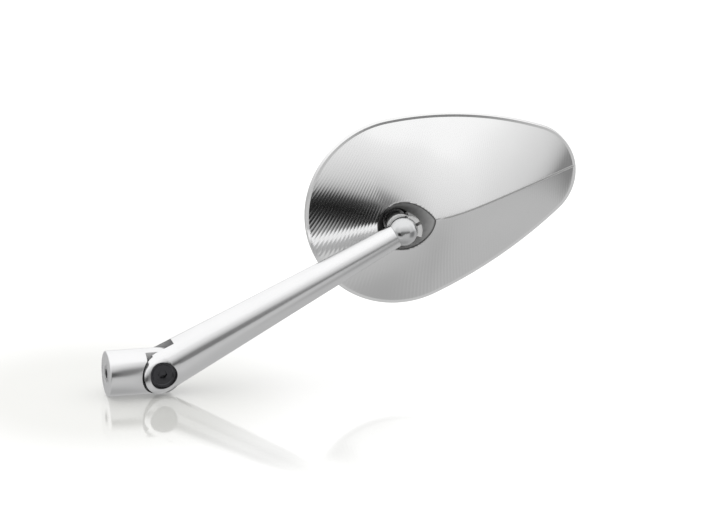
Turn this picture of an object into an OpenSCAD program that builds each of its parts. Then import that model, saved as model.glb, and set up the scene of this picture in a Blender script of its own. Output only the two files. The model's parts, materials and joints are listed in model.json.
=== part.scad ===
// Motorcycle mirror: a threaded base, a tapered arm on a pivot, and a machined
// leaf-shaped head on a ball joint. Origin: middle of the base's mounting face.
// +X runs along the base's axis, +Z is up, +Y points from the arm to the glass.

/* [Base] */
// Diameter of the base cylinder
base_d = 23; // [20:0.5:28]
// Distance from the mounting face to the arm's pivot
base_len = 27.3; // [24:0.1:40]
// Chamfer round the mounting face
base_chamfer = 0.4; // [0.2:0.1:1]
// Outside diameter of the steel thread insert
insert_d = 8.6; // [7.5:0.1:10]
// Length of the thread insert
insert_len = 12; // [8:0.5:12.5]
// Wall diameter of the mounting thread
mount_bore_d = 5; // [4:0.1:6]
// Depth of the mounting thread below the mounting face
mount_bore_len = 10.5; // [6:0.5:11]

/* [Pivot] */
// Thickness of the base's tongue
tongue_t = 7.6; // [6:0.1:8.4]
// Radius of the round end of the arm's two ears
ear_r = 10; // [9.5:0.1:10.4]
// Gap between the ears' round ends and the base's shoulders
shoulder_gap = 1.15; // [0.4:0.05:1.4]
// Distance from the pivot to the upright step at the top of each shoulder
shoulder_step = 8; // [6:0.1:9]
// Distance from the pivot to the bottom of the slot between the ears
slot_depth = 12.4; // [12.1:0.1:14]
// Thickness of each friction washer
washer_t = 0.4; // [0.3:0.05:0.6]
// Outside diameter of the friction washers
washer_d = 17; // [14:0.5:20]
// Diameter of the pivot screw's shank
screw_d = 6; // [5:0.1:6.5]
// Outside diameter of the bush in the tongue
bush_d = 9; // [8:0.1:10]
// Diameter of the pivot screw's head
screw_head_d = 13.4; // [12:0.1:14]
// Height of the pivot screw's head
screw_head_h = 2.4; // [1.8:0.1:2.6]
// Width across the flats of the screw's hexagon socket
hex_w = 4; // [3:0.5:5]
// Depth of the hexagon socket below the dish
hex_depth = 1.4; // [0.8:0.1:1.6]
// Diameter of the dish in the screw's head
dish_d = 11.2; // [9:0.1:12]
// Depth of the dish in the screw's head
dish_depth = 0.6; // [0.3:0.1:0.8]
// Metal left between each ear's inner face and its counterbore
ear_web = 1.6; // [1.2:0.1:2]
// Radial gap round the screw's head
head_gap = 0.25; // [0.15:0.05:0.4]
// Height of the disc spring under the pivot nut
pivot_spring_h = 0.9; // [0.7:0.1:1.2]
// Thickness of the disc springs' metal
spring_t = 0.45; // [0.35:0.05:0.5]
// Outside diameter of the pivot nut
pivot_nut_d = 12.6; // [11:0.1:13]
// Height of the pivot nut
pivot_nut_h = 2.3; // [2:0.1:2.6]
// Distance of the pin holes from the pivot nut's axis
nut_pin_r = 4.6; // [4.3:0.1:4.7]
// Diameter of the pin holes
nut_pin_d = 1.8; // [1.5:0.1:2]

/* [Arm] */
// Distance from the pivot to the centre of the ball
arm_len = 140.8; // [120:0.1:170]
// Diameter of the arm where it meets the ball
arm_tip_d = 11.7; // [11:0.1:12.4]
// Angle of the arm above the base's axis
arm_angle = 27.1; // [0:0.1:32]

/* [Ball] */
// Diameter of the ball
ball_d = 14.6; // [14.2:0.1:15]
// Diameter of the ball's threaded shank
stud_d = 6; // [5:0.1:7]
// Length of the shank inside the arm
stud_len = 15; // [10:0.5:20]

/* [Socket] */
// Thickness of the seat liners
liner_t = 0.55; // [0.45:0.05:0.7]
// Outside diameter of the collar round the ball
collar_d = 19.3; // [18.9:0.1:20]
// How far the fingers reach past the middle of the ball
finger_reach = 1.2; // [0.8:0.1:1.6]
// Half the angle that the two fingers span, on the side away from the arm
finger_half_angle = 48; // [40:1:52]
// Width of the slit between the fingers
slit_w = 1.5; // [1:0.1:2]
// Thickness of the fingers' inner lip, which holds the liner
lip_h = 2; // [1.6:0.1:2.4]
// Distance from the ball's centre back to the collar's low rim
low_rim = 6.8; // [6.6:0.1:7]
// Diameter of the socket's waist behind the ball
waist_d = 14; // [13:0.1:14.2]
// Diameter of the socket's neck
neck_d = 10; // [9:0.1:11]
// Diameter of the socket's threaded stem
stem_d = 8; // [7:0.1:8.5]
// Radial room between the arm's end and the socket
arm_room = 1.3; // [1:0.1:1.6]
// Half-angle by which that room opens along the arm
arm_flare = 9; // [7:0.5:12]
// Gap between the two seat liners, which leaves room for the head's swing
liner_gap = 1.7; // [1.5:0.1:2]
// Distance from the ball's centre back to the end of the fingers' round outside
collar_end = 3.4; // [3:0.1:3.6]
// Length of the collar's slope down to the waist
collar_slope = 3.2; // [3:0.1:3.4]
// Wall of the socket behind the ball
cup_wall = 2.8; // [2.4:0.1:3]
// Length of the slope between the waist and the neck
neck_slope = 1.6; // [1.2:0.1:2]
// Thickness of the thrust washer under the neck
thrust_t = 0.5; // [0.3:0.1:0.8]
// Outside diameter of the thrust washer
thrust_d = 12; // [11:0.5:13.5]
// Height of the disc spring under the socket nut
socket_spring_h = 1; // [0.8:0.1:1.2]
// Outside diameter of the disc spring under the socket nut
socket_spring_d = 16; // [14:0.5:18]
// Width of the socket nut across its flats
socket_nut_w = 12; // [11:0.5:13]
// Height of the socket nut
socket_nut_h = 1.7; // [1.4:0.1:1.8]

/* [Head outline] */
// Radius of the head's broad end
broad_r = 48.4; // [47:0.1:50]
// Radius of the head's narrow end
narrow_r = 25.9; // [24:0.1:28]
// Radius of the upper edge between the two ends
upper_r = 169; // [150:1:200]
// Radius of the lower edge between the two ends
lower_r = 231; // [200:1:260]
// How far the narrow end's centre lies along the head from the broad end's
end_dx = 65.6; // [62:0.1:70]
// How far the narrow end's centre lies above the broad end's
end_dz = 15.3; // [13:0.1:17]

/* [Head] */
// Distance from the ball's centre back to the head's edge
rim_y = 24; // [23.5:0.1:25]
// Depth of the head's edge wall
rim_h = 3.6; // [3.4:0.1:4.2]
// Width of the narrow land round the dome
land_w = 0.8; // [0.5:0.1:1.2]
// Height of the dome above the head's edge
dome_h = 25.2; // [24:0.1:26]
// How far the dome's highest point lies from the ball towards the narrow end
peak_x = 24; // [20:0.5:28]
// Share of the dome's section that is a straight slope where the crease is sharp
crease_sharp = 0.75; // [0.6:0.05:0.9]
// Height above the ball at which the crease runs out at the narrow end
crease_end_z = 21; // [19:0.1:22]
// Rise of the crease per millimetre along the head
crease_slope = 0.209; // [0.18:0.001:0.23]
// The same for the rounded ridge on the broad side of the ball
ridge_slope = -0.12; // [-0.16:0.01:0]
// Length over which the one slope turns into the other
slope_turn = 8; // [4:1:14]
// Where the crease begins, counted along the head from the ball
crease_start = -12; // [-16:1:-6]
// Length over which the crease sharpens
crease_grow = 30; // [20:1:40]
// How round the ridge is at the dome's highest point
peak_round = 0.2; // [0.1:0.01:0.3]
// Thickness of the head's wall
head_wall = 3; // [2.5:0.1:3.5]
// Radius of the bore at the bottom of the conical recess
recess_bore_r = 7.1; // [6.9:0.1:7.6]
// Distance from the ball's centre back to the cone's small end
recess_depth = 16; // [15:0.1:17]
// Half-angle of the conical recess
recess_angle = 31.5; // [29:0.5:33]
// Distance from the ball's centre back to the bore's floor
floor_y = 19.5; // [18.5:0.1:20]
// Thickness of the bore's floor
floor_t = 2.1; // [1.8:0.1:2.2]
// Wall round the conical recess and its bore
recess_wall = 2.4; // [2:0.1:3]

/* [Glass] */
// Thickness of the mirror glass
glass_t = 2; // [1.8:0.1:2.2]
// Thickness of the foam pad behind the glass
pad_t = 0.8; // [0.6:0.1:1]
// Diameter of the pad's hole round the socket nut
pad_hole_d = 16; // [15:0.5:20]
// Width of the metal lip round the glass
lip_w = 1.2; // [1:0.1:1.6]
// Width of the rubber seal between the lip and the glass
seal_w = 0.7; // [0.5:0.1:1]
// How far the glass lies below the lip
glass_recess = 0.3; // [0.2:0.1:0.5]
// Width of the shelf that carries the foam pad
shelf_w = 3; // [2:0.5:5]

/* [Hidden] */

$fn = 96;
fit = 0.04;          // radial clearance of pins, shanks and threads
ball_fit = 0.05;     // radial clearance on each side of a seat liner
over = 1;            // how far a cutting shape passes the metal
lap = 0.1;           // how far two cuts or two bodies run into each other
mouth = 6;           // how far the recess's cone is cut past the ball's centre
far = 60;            // longer than any cut across the pivot or the socket

base_r = base_d / 2;
ball_r = ball_d / 2;
arm_tip_r = arm_tip_d / 2;
shoulder_r = ear_r + shoulder_gap;
ear_y = tongue_t / 2 + washer_t;              // inner face of each ear
seat_y = ear_y + ear_web;                     // bottom of each counterbore
counterbore_r = screw_head_d / 2 + head_gap;
seam_s = sqrt(ball_r * ball_r - arm_tip_r * arm_tip_r);   // ball centre to arm end
arm_end = arm_len - seam_s;
pivot_nut_y = seat_y + pivot_spring_h;

liner_r = ball_r + ball_fit;                  // inside of the liners
cup_r = liner_r + liner_t + ball_fit;         // inside of the socket
lip_y = lip_h - finger_reach;                 // where the fingers' lip ends
cup_back = cup_r + cup_wall;                  // back of the socket's bowl
neck_y = floor_y - thrust_t;
spring_y = floor_y + floor_t;
socket_nut_y = spring_y + socket_spring_h;
stem_end = socket_nut_y + socket_nut_h;
recess_r = recess_bore_r + (recess_depth + over) * tan(recess_angle);

broad_x = 3.75;                               // centre of the broad end
broad_z = 3;
narrow_x = broad_x + end_dx;
narrow_z = broad_z + end_dz;
face_y = rim_y + rim_h;                       // plane of the head's open side
glass_y = face_y - glass_recess - glass_t;    // back of the glass
pad_y = glass_y - pad_t;                      // bottom of the glass pocket
peak_y = rim_y - dome_h;

// A round bar along Y from y0 to y1.
module rod_y(r, y0, y1) {
  translate([0, y0, 0]) rotate([-90, 0, 0]) cylinder(r = r, h = y1 - y0);
}

// A tapered bar along Y, radius r0 at y0 and r1 at y1.
module cone_y(r0, r1, y0, y1) {
  translate([0, y0, 0]) rotate([-90, 0, 0]) cylinder(r1 = r0, r2 = r1, h = y1 - y0);
}

// A round bar along X from x0 to x1, radius r0 at x0 and r1 at x1.
module rod_x(r0, r1, x0, x1) {
  translate([x0, 0, 0]) rotate([0, 90, 0]) cylinder(r1 = r0, r2 = r1, h = x1 - x0);
}

// A flat ring along Y.
module ring_y(r_in, r_out, y0, y1) {
  difference() {
    rod_y(r_out, y0, y1);
    rod_y(r_in, y0 - over, y1 + over);
  }
}

// A disc spring: a thin cone that rises by h over its width.
module disc_spring(r_in, r_out, h, y0) {
  translate([0, y0, 0]) rotate([-90, 0, 0]) rotate_extrude()
    polygon([[r_in, h - spring_t], [r_out, 0], [r_out, spring_t], [r_in, h]]);
}

// The pivot's own frame: X along the arm, Y along the pivot.
module at_pivot() {
  translate([base_len, 0, 0]) rotate([0, -arm_angle, 0]) children();
}

// The head's frame: origin at the ball's centre, axes as the base's.
module at_ball() {
  translate([base_len + arm_len * cos(arm_angle), 0, arm_len * sin(arm_angle)]) children();
}

// The ball's frame with X along the arm.
module at_ball_arm() {
  at_ball() rotate([0, -arm_angle, 0]) children();
}

// Base

module base_knuckle() {
  color("silver") difference() {
    intersection() {
      union() {
        rod_x(base_r - base_chamfer, base_r, 0, base_chamfer);
        rod_x(base_r, base_r, base_chamfer, base_len + base_r);
      }
      union() {
        translate([-over, -far / 2, -far / 2]) cube([base_len + over, far, far]);
        translate([base_len, 0, 0]) rod_y(base_r, -far / 2, far / 2);
      }
    }
    for (side = [-1, 1]) translate([base_len, side * (tongue_t + far) / 2, 0]) {
      rod_y(shoulder_r, -far / 2, far / 2);
      translate([0, -far / 2, -far / 2]) cube(far);
      translate([-shoulder_step, -far / 2, 0]) cube(far);
    }
    translate([base_len, 0, 0]) rod_y(bush_d / 2, -far / 2, far / 2);
    rod_x(insert_d / 2, insert_d / 2, -over, insert_len);
  }
}

module thread_insert() {
  color("dimgray") difference() {
    rod_x(insert_d / 2, insert_d / 2, 0, insert_len);
    rod_x(mount_bore_d / 2, mount_bore_d / 2, -over, mount_bore_len);
  }
}

module tongue_bush() {
  color("darkgoldenrod") translate([base_len, 0, 0])
    ring_y(screw_d / 2 + fit, bush_d / 2, -tongue_t / 2, tongue_t / 2);
}

// Arm and pivot

module arm() {
  color("silver") at_pivot() difference() {
    union() {
      intersection() {
        rod_x(base_r, base_r, -base_r, 0);
        rod_y(ear_r, -far / 2, far / 2);
      }
      rod_x(base_r, arm_tip_r, 0, arm_end);
    }
    translate([-base_r - over, -ear_y, -far / 2])
      cube([base_r + over + slot_depth, 2 * ear_y, far]);
    rod_y(screw_d / 2 + fit, -far / 2, far / 2);
    for (side = [-1, 1]) translate([0, side * (seat_y + far / 2), 0])
      rod_y(counterbore_r, -far / 2, far / 2);
    rod_x(stud_d / 2 + fit, stud_d / 2 + fit, arm_end - stud_len - over, arm_end + over);
  }
}

module friction_washer(y0) {
  color("dimgray") at_pivot() ring_y(screw_d / 2 + fit, washer_d / 2, y0, y0 + washer_t);
}

module friction_washer_front() {
  friction_washer(-ear_y);
}

module friction_washer_back() {
  friction_washer(tongue_t / 2);
}

module pivot_screw() {
  head_y = seat_y + screw_head_h;
  color("#232323") at_pivot() difference() {
    union() {
      rod_y(screw_head_d / 2, -head_y, -seat_y);
      rod_y(screw_d / 2, -seat_y - screw_head_h / 2, pivot_nut_y + pivot_nut_h);
    }
    cone_y(dish_d / 2 + dish_depth, dish_d / 2 - dish_depth,
           -head_y - dish_depth, -head_y + dish_depth);
    translate([0, -head_y + dish_depth + hex_depth, 0]) rotate([90, 30, 0])
      cylinder(r = hex_w / sqrt(3), h = hex_depth + over, $fn = 6);
  }
}

module pivot_spring() {
  color("dimgray") at_pivot()
    disc_spring(screw_d / 2 + fit, pivot_nut_d / 2, pivot_spring_h, seat_y);
}

module pivot_nut() {
  color("#232323") at_pivot() difference() {
    ring_y(screw_d / 2 + fit, pivot_nut_d / 2, pivot_nut_y, pivot_nut_y + pivot_nut_h);
    for (side = [-1, 1]) translate([side * nut_pin_r, 0, 0])
      rod_y(nut_pin_d / 2, pivot_nut_y - over, pivot_nut_y + pivot_nut_h + over);
  }
}

// Ball joint

module ball_stud() {
  color("silver") at_ball_arm() union() {
    intersection() {
      sphere(r = ball_r);
      translate([-seam_s, -ball_d, -ball_d]) cube(2 * ball_d);
    }
    rod_x(stud_d / 2, stud_d / 2, -seam_s - stud_len, -seam_s + over);
  }
}

// Everything in front of the collar's low rim, apart from the fingers.
module in_front_of_rim(rim) {
  reach = 4 * ball_d;
  difference() {
    translate([-far / 2, rim - far, -far / 2]) cube([far, far, far]);
    rotate([0, -arm_angle, 0]) rotate([90, 0, 0])
      linear_extrude(height = 2 * far, center = true)
        polygon([[0, 0], reach * [cos(finger_half_angle), -sin(finger_half_angle)],
                 reach * [1, 0], reach * [cos(finger_half_angle), sin(finger_half_angle)]]);
  }
}

// The room that the arm's end needs, also while the head tilts.
module arm_path(room) {
  rotate([0, -arm_angle, 0])
    rod_x(arm_tip_r + room + far / 2 * tan(arm_flare), arm_tip_r + room, -far / 2, 0);
}

// A half of a hollow sphere's shell, from y0 to y1 behind the ball's centre.
module liner_shell(y0, y1) {
  intersection() {
    difference() {
      sphere(r = liner_r + liner_t);
      sphere(r = liner_r);
    }
    rod_y(ball_d, y0, y1);
  }
}

module seat_liner_back() {
  color("#303030") at_ball() difference() {
    liner_shell(low_rim, ball_d);
    arm_path(arm_room);
  }
}

module seat_liner_fingers() {
  color("#303030") at_ball() difference() {
    liner_shell(lip_y, low_rim - liner_gap);
    in_front_of_rim(low_rim);
  }
}

module socket_cup() {
  collar_r = collar_d / 2;
  color("gainsboro") at_ball() difference() {
    rotate([-90, 0, 0]) rotate_extrude() polygon([
      [0, -finger_reach], [collar_r, -finger_reach], [collar_r, collar_end],
      [waist_d / 2, collar_end + collar_slope], [waist_d / 2, cup_back - neck_slope],
      [neck_d / 2, cup_back],
      [neck_d / 2, neck_y], [stem_d / 2, neck_y], [stem_d / 2, stem_end], [0, stem_end]]);
    sphere(r = liner_r);
    intersection() {
      sphere(r = cup_r);
      rod_y(ball_d, lip_y - ball_fit, ball_d);
    }
    in_front_of_rim(low_rim);
    arm_path(arm_room);
    rotate([0, -arm_angle, 0]) translate([0, -far / 2, -slit_w / 2])
      cube([far / 2, far / 2 + low_rim, slit_w]);
  }
}

module thrust_washer() {
  color("dimgray") at_ball()
    ring_y(stem_d / 2 + fit, thrust_d / 2, neck_y, floor_y);
}

module socket_spring() {
  color("dimgray") at_ball()
    disc_spring(stem_d / 2 + fit, socket_spring_d / 2, socket_spring_h, spring_y);
}

module socket_nut() {
  color("dimgray") at_ball() difference() {
    translate([0, socket_nut_y, 0]) rotate([-90, 0, 0])
      cylinder(r = socket_nut_w / sqrt(3), h = socket_nut_h, $fn = 6);
    rod_y(stem_d / 2 + fit, socket_nut_y - over, stem_end + over);
  }
}

// Head outline: four arcs that run into each other without a corner

// Centre of an edge arc that touches both end arcs from outside; side is 1 above, -1 below.
function edge_centre(r, side) =
  let (d = norm([end_dx, end_dz]), along = [end_dx, end_dz] / d, across = side * [-along[1], along[0]],
       da = r - broad_r, db = r - narrow_r, s = (da * da - db * db + d * d) / (2 * d))
  [broad_x, broad_z] + along * s - across * sqrt(da * da - s * s);

function angle_of(v) = atan2(v[1], v[0]);
function on_arc(c, r, a) = c + r * [cos(a), sin(a)];
function circle_z(c, r, x) = sqrt(max(0, r * r - (x - c[0]) * (x - c[0])));

broad_c = [broad_x, broad_z];
narrow_c = [narrow_x, narrow_z];
upper_c = edge_centre(upper_r, 1);
lower_c = edge_centre(lower_r, -1);
upper_start = angle_of(narrow_c - upper_c);
upper_end = angle_of(broad_c - upper_c);
lower_start = angle_of(broad_c - lower_c);
lower_end = angle_of(narrow_c - lower_c);

function arc_points(c, r, a0, a1, n) = [for (i = [0 : n - 1]) on_arc(c, r, a0 + (a1 - a0) * i / n)];

function head_outline(inset) = concat(
  arc_points(upper_c, upper_r - inset, upper_start, upper_end, 16),
  arc_points(broad_c, broad_r - inset, upper_end, lower_start + 360, 32),
  arc_points(lower_c, lower_r - inset, lower_start, lower_end, 14),
  arc_points(narrow_c, narrow_r - inset, lower_end, upper_start, 24));

// Height of the outline's upper and lower edge at a place x along the head.
function upper_z(x, inset) =
  x < upper_c[0] + upper_r * cos(upper_end) ? broad_z + circle_z(broad_c, broad_r - inset, x)
  : x > upper_c[0] + upper_r * cos(upper_start) ? narrow_z + circle_z(narrow_c, narrow_r - inset, x)
  : upper_c[1] + circle_z(upper_c, upper_r - inset, x);
function lower_z(x, inset) =
  x < lower_c[0] + lower_r * cos(lower_start) ? broad_z - circle_z(broad_c, broad_r - inset, x)
  : x > lower_c[0] + lower_r * cos(lower_end) ? narrow_z - circle_z(narrow_c, narrow_r - inset, x)
  : lower_c[1] - circle_z(lower_c, lower_r - inset, x);

module head_slab(inset, y0, y1) {
  translate([0, y1, 0]) rotate([90, 0, 0])
    linear_extrude(height = y1 - y0) polygon(head_outline(inset));
}

// Head dome: every upright section runs from the edge up to a ridge and down again.
// Towards the narrow end the ridge is a sharp crease, and it fades behind the ball.

x_min = broad_x - broad_r;
x_max = narrow_x + narrow_r;
ridge_room = 0.5;    // least height of a section on each side of the ridge
end_trim = 0.2;      // where the sections begin, inside the outline's broad end
tip_trim = 0.3;      // where they stop, inside its narrow end

function smooth01(t) = let (c = min(1, max(0, t))) c * c * (3 - 2 * c);
function soft(v) = (norm([v, peak_round]) - peak_round) / (norm([1, peak_round]) - peak_round);
function ridge_y(x) = peak_y + dome_h * soft(
  x < peak_x ? (peak_x - x) / (peak_x - x_min) : (x - peak_x) / (x_max - peak_x));
function sharpness(x) = crease_sharp * smooth01((x - crease_start) / crease_grow);
function bend(x) =
  (crease_slope + ridge_slope) / 2 * x + (crease_slope - ridge_slope) / 2 * norm([x, slope_turn]);
function ridge_z(x) = crease_end_z + bend(x) - bend(x_max);
function dome_y(x, z) =
  let (zr = ridge_z(x), edge = z > zr ? upper_z(x, land_w) : lower_z(x, land_w),
       t = min(1, max(0, (z - zr) / (edge - zr))), a = sharpness(x))
  ridge_y(x) + (rim_y - ridge_y(x)) * (a * t + (1 - a) * t * t);

// Upright section of the dome at x as a list of points, moved back by wall but no
// further than the plane y = stop, with nz steps on each side of the ridge.
function dome_section(x, inset, wall, stop, nz) =
  let (lo = lower_z(x, inset), hi = upper_z(x, inset),
       zr = min(hi - ridge_room, max(lo + ridge_room, ridge_z(x))))
  [for (j = [-nz : nz])
    let (z = j < 0 ? zr + (zr - lo) * j / nz : zr + (hi - zr) * j / nz)
    [x, min(stop, dome_y(x, z) + wall), z]];

// Closed body between the dome, moved back by wall, and the plane y = back, from nx
// sections that lie closer together at both ends.
module dome_body(inset, wall, back, nx, nz) {
  x0 = x_min + inset + end_trim;
  x1 = x_max - inset - tip_trim;
  row = 2 * nz + 1;
  grid = [for (i = [0 : nx]) each dome_section(
    (x0 + x1) / 2 - (x1 - x0) / 2 * cos(180 * i / nx), inset, wall, back - 3 * lap, nz)];
  count = len(grid);
  edge = concat(
    [for (i = [0 : nx]) i * row],
    [for (j = [1 : row - 1]) nx * row + j],
    [for (i = [1 : nx]) (nx - i) * row + row - 1],
    [for (j = [1 : row - 2]) row - 1 - j]);
  rim = len(edge);
  polyhedron(
    points = concat(grid, [for (k = edge) [grid[k][0], back, grid[k][2]]], [[0, back, 0]]),
    faces = concat(
      [for (i = [0 : nx - 1]) for (j = [0 : row - 2])
        [i * row + j, (i + 1) * row + j + 1, (i + 1) * row + j]],
      [for (i = [0 : nx - 1]) for (j = [0 : row - 2])
        [i * row + j, i * row + j + 1, (i + 1) * row + j + 1]],
      [for (k = [0 : rim - 1]) [edge[(k + 1) % rim], count + (k + 1) % rim, count + k, edge[k]]],
      [for (k = [0 : rim - 1]) [count + rim, count + k, count + (k + 1) % rim]]));
}

module head_shell() {
  bushing_r = recess_bore_r + recess_wall;
  color("silver") at_ball() difference() {
    union() {
      dome_body(land_w, 0, rim_y + 4 * lap, 52, 14);
      head_slab(0, rim_y, face_y);
    }
    head_slab(lip_w, pad_y, face_y + over);
    difference() {
      dome_body(lip_w + shelf_w, head_wall, pad_y + over, 18, 6);
      cone_y(recess_r + recess_wall, bushing_r, -over, recess_depth);
      rod_y(bushing_r, recess_depth - over, floor_y + floor_t);
    }
    cone_y(recess_r + mouth * tan(recess_angle), recess_bore_r, -over - mouth, recess_depth);
    rod_y(recess_bore_r, recess_depth - lap, floor_y);
    rod_y(stem_d / 2 + fit, floor_y - over, rim_y + over);
  }
}

// Glass

module glass_pad() {
  color("#404040") at_ball() difference() {
    head_slab(lip_w + seal_w, pad_y, glass_y);
    rod_y(pad_hole_d / 2, pad_y - over, glass_y + over);
  }
}

module glass_seal() {
  color("#202020") at_ball() difference() {
    head_slab(lip_w, pad_y, face_y - glass_recess);
    head_slab(lip_w + seal_w, pad_y - over, face_y + over);
  }
}

module mirror_glass() {
  color("lightsteelblue") at_ball() head_slab(lip_w + seal_w, glass_y, glass_y + glass_t);
}

base_knuckle();
thread_insert();
tongue_bush();
friction_washer_front();
friction_washer_back();
arm();
pivot_screw();
pivot_spring();
pivot_nut();
ball_stud();
seat_liner_back();
seat_liner_fingers();
socket_cup();
thrust_washer();
socket_spring();
socket_nut();
head_shell();
glass_pad();
glass_seal();
mirror_glass();
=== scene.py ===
import bpy
import bmesh
import json
import math
import numpy as np
from mathutils import Matrix, Vector
from mathutils.geometry import delaunay_2d_cdt


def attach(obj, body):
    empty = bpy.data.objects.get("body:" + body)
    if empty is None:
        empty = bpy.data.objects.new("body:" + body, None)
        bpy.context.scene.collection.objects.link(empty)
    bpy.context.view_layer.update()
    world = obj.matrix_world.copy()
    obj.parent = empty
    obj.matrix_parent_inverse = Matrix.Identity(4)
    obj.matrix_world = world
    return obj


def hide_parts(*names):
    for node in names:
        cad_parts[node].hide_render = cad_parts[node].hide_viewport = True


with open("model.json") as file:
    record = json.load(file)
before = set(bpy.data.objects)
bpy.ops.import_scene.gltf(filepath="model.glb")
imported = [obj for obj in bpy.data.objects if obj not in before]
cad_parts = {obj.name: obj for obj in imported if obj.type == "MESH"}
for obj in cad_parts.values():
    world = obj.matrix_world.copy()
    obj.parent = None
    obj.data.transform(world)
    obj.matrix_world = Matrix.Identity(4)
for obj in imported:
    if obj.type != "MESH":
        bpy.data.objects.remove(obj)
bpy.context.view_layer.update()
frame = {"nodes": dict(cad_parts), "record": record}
cadNodes = frame["nodes"]
bodyOf = {n: b for b, ns in frame["record"]["behaviour"]["bodies"].items() for n in ns}
slotOf = {p["node"]: p["material_slot"] for p in frame["record"]["subparts"]}
scene = bpy.context.scene
print("frame loaded:", len(cadNodes), "nodes")

mm = 0.001
layout = {"baseLength": 27.3, "armLength": 140.8, "armAngle": math.radians(27.1), "baseRadius": 11.5}
ballAt = Vector((layout["baseLength"] + layout["armLength"] * math.cos(layout["armAngle"]), 0,
                 layout["armLength"] * math.sin(layout["armAngle"]))) * mm


# Short ways to write node trees

def place(tree, kind, **settings):
    made = tree.nodes.new(kind)
    for key, value in settings.items():
        setattr(made, key, value)
    return made


def feed(tree, socket, value):
    if isinstance(value, bpy.types.NodeSocket):
        tree.links.new(value, socket)
    else:
        socket.default_value = value


def maths(tree, operation, *values):
    made = place(tree, "ShaderNodeMath", operation=operation)
    for socket, value in zip(made.inputs, values):
        feed(tree, socket, value)
    return made.outputs[0]


def remap(tree, value, low, high, toLow, toHigh, smooth=False):
    made = place(tree, "ShaderNodeMapRange", interpolation_type="SMOOTHSTEP" if smooth else "LINEAR")
    for key, v in zip(("Value", "From Min", "From Max", "To Min", "To Max"),
                      (value, low, high, toLow, toHigh)):
        feed(tree, made.inputs[key], v)
    return made.outputs["Result"]


def newGroup(name, kind, inputs, outputs):
    tree = bpy.data.node_groups.new(name, kind)
    for label, form, value in inputs:
        socket = tree.interface.new_socket(label, in_out="INPUT", socket_type=form)
        if value is not None:
            socket.default_value = value
    for label, form in outputs:
        tree.interface.new_socket(label, in_out="OUTPUT", socket_type=form)
    return tree, place(tree, "NodeGroupInput"), place(tree, "NodeGroupOutput")


# Finishes. One group gives every metal its fine grain, its handling marks and its lighter worn edges; on
# the blackened steel these lighter edges are also a painted highlight.

wear = {"grainDetail": 3, "grainRoughness": 0.65, "patchDetail": 4, "edgeFrom": 0.53, "edgeTo": 0.62,
        "edgePolish": 0.08, "smoothest": 0.03, "toneSpread": 0.06}


def makeMetalSurface():
    floats = [("Grain Scale", 900.0), ("Patch Scale", 60.0),
              ("Patch Amount", 0.04), ("Edge Amount", 0.3), ("Base Roughness", 0.2)]
    tree, ins, outs = newGroup(
        "metalSurface", "ShaderNodeTree",
        [("Grain Vector", "NodeSocketVector", None), ("Plain Vector", "NodeSocketVector", None)]
        + [(label, "NodeSocketFloat", value) for label, value in floats],
        [("Height", "NodeSocketFloat"), ("Roughness", "NodeSocketFloat"),
         ("Tone", "NodeSocketFloat"), ("Edge", "NodeSocketFloat")])
    get = ins.outputs
    grain = place(tree, "ShaderNodeTexNoise")
    feed(tree, grain.inputs["Vector"], get["Grain Vector"])
    feed(tree, grain.inputs["Scale"], get["Grain Scale"])
    grain.inputs["Detail"].default_value = wear["grainDetail"]
    grain.inputs["Roughness"].default_value = wear["grainRoughness"]
    patch = place(tree, "ShaderNodeTexNoise")
    feed(tree, patch.inputs["Vector"], get["Plain Vector"])
    feed(tree, patch.inputs["Scale"], get["Patch Scale"])
    patch.inputs["Detail"].default_value = wear["patchDetail"]
    centred = maths(tree, "SUBTRACT", grain.outputs[0], 0.5)
    blotch = maths(tree, "SUBTRACT", patch.outputs[0], 0.5)
    geo = place(tree, "ShaderNodeNewGeometry")
    wornEdgeAndHighlight = remap(tree, geo.outputs["Pointiness"], wear["edgeFrom"], wear["edgeTo"], 0, 1, True)
    edge = maths(tree, "MULTIPLY", wornEdgeAndHighlight, get["Edge Amount"])
    rough = maths(tree, "ADD", get["Base Roughness"],
                  maths(tree, "ADD", maths(tree, "MULTIPLY", blotch, get["Patch Amount"]),
                        maths(tree, "MULTIPLY", centred, get["Patch Amount"])))
    rough = maths(tree, "SUBTRACT", rough, maths(tree, "MULTIPLY", edge, wear["edgePolish"]))
    feed(tree, outs.inputs["Height"], centred)
    feed(tree, outs.inputs["Roughness"], maths(tree, "MAXIMUM", rough, wear["smoothest"]))
    feed(tree, outs.inputs["Tone"],
         maths(tree, "ADD", 1.0, maths(tree, "MULTIPLY", blotch, wear["toneSpread"])))
    feed(tree, outs.inputs["Edge"], edge)
    return tree


metalSurface = makeMetalSurface()


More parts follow.
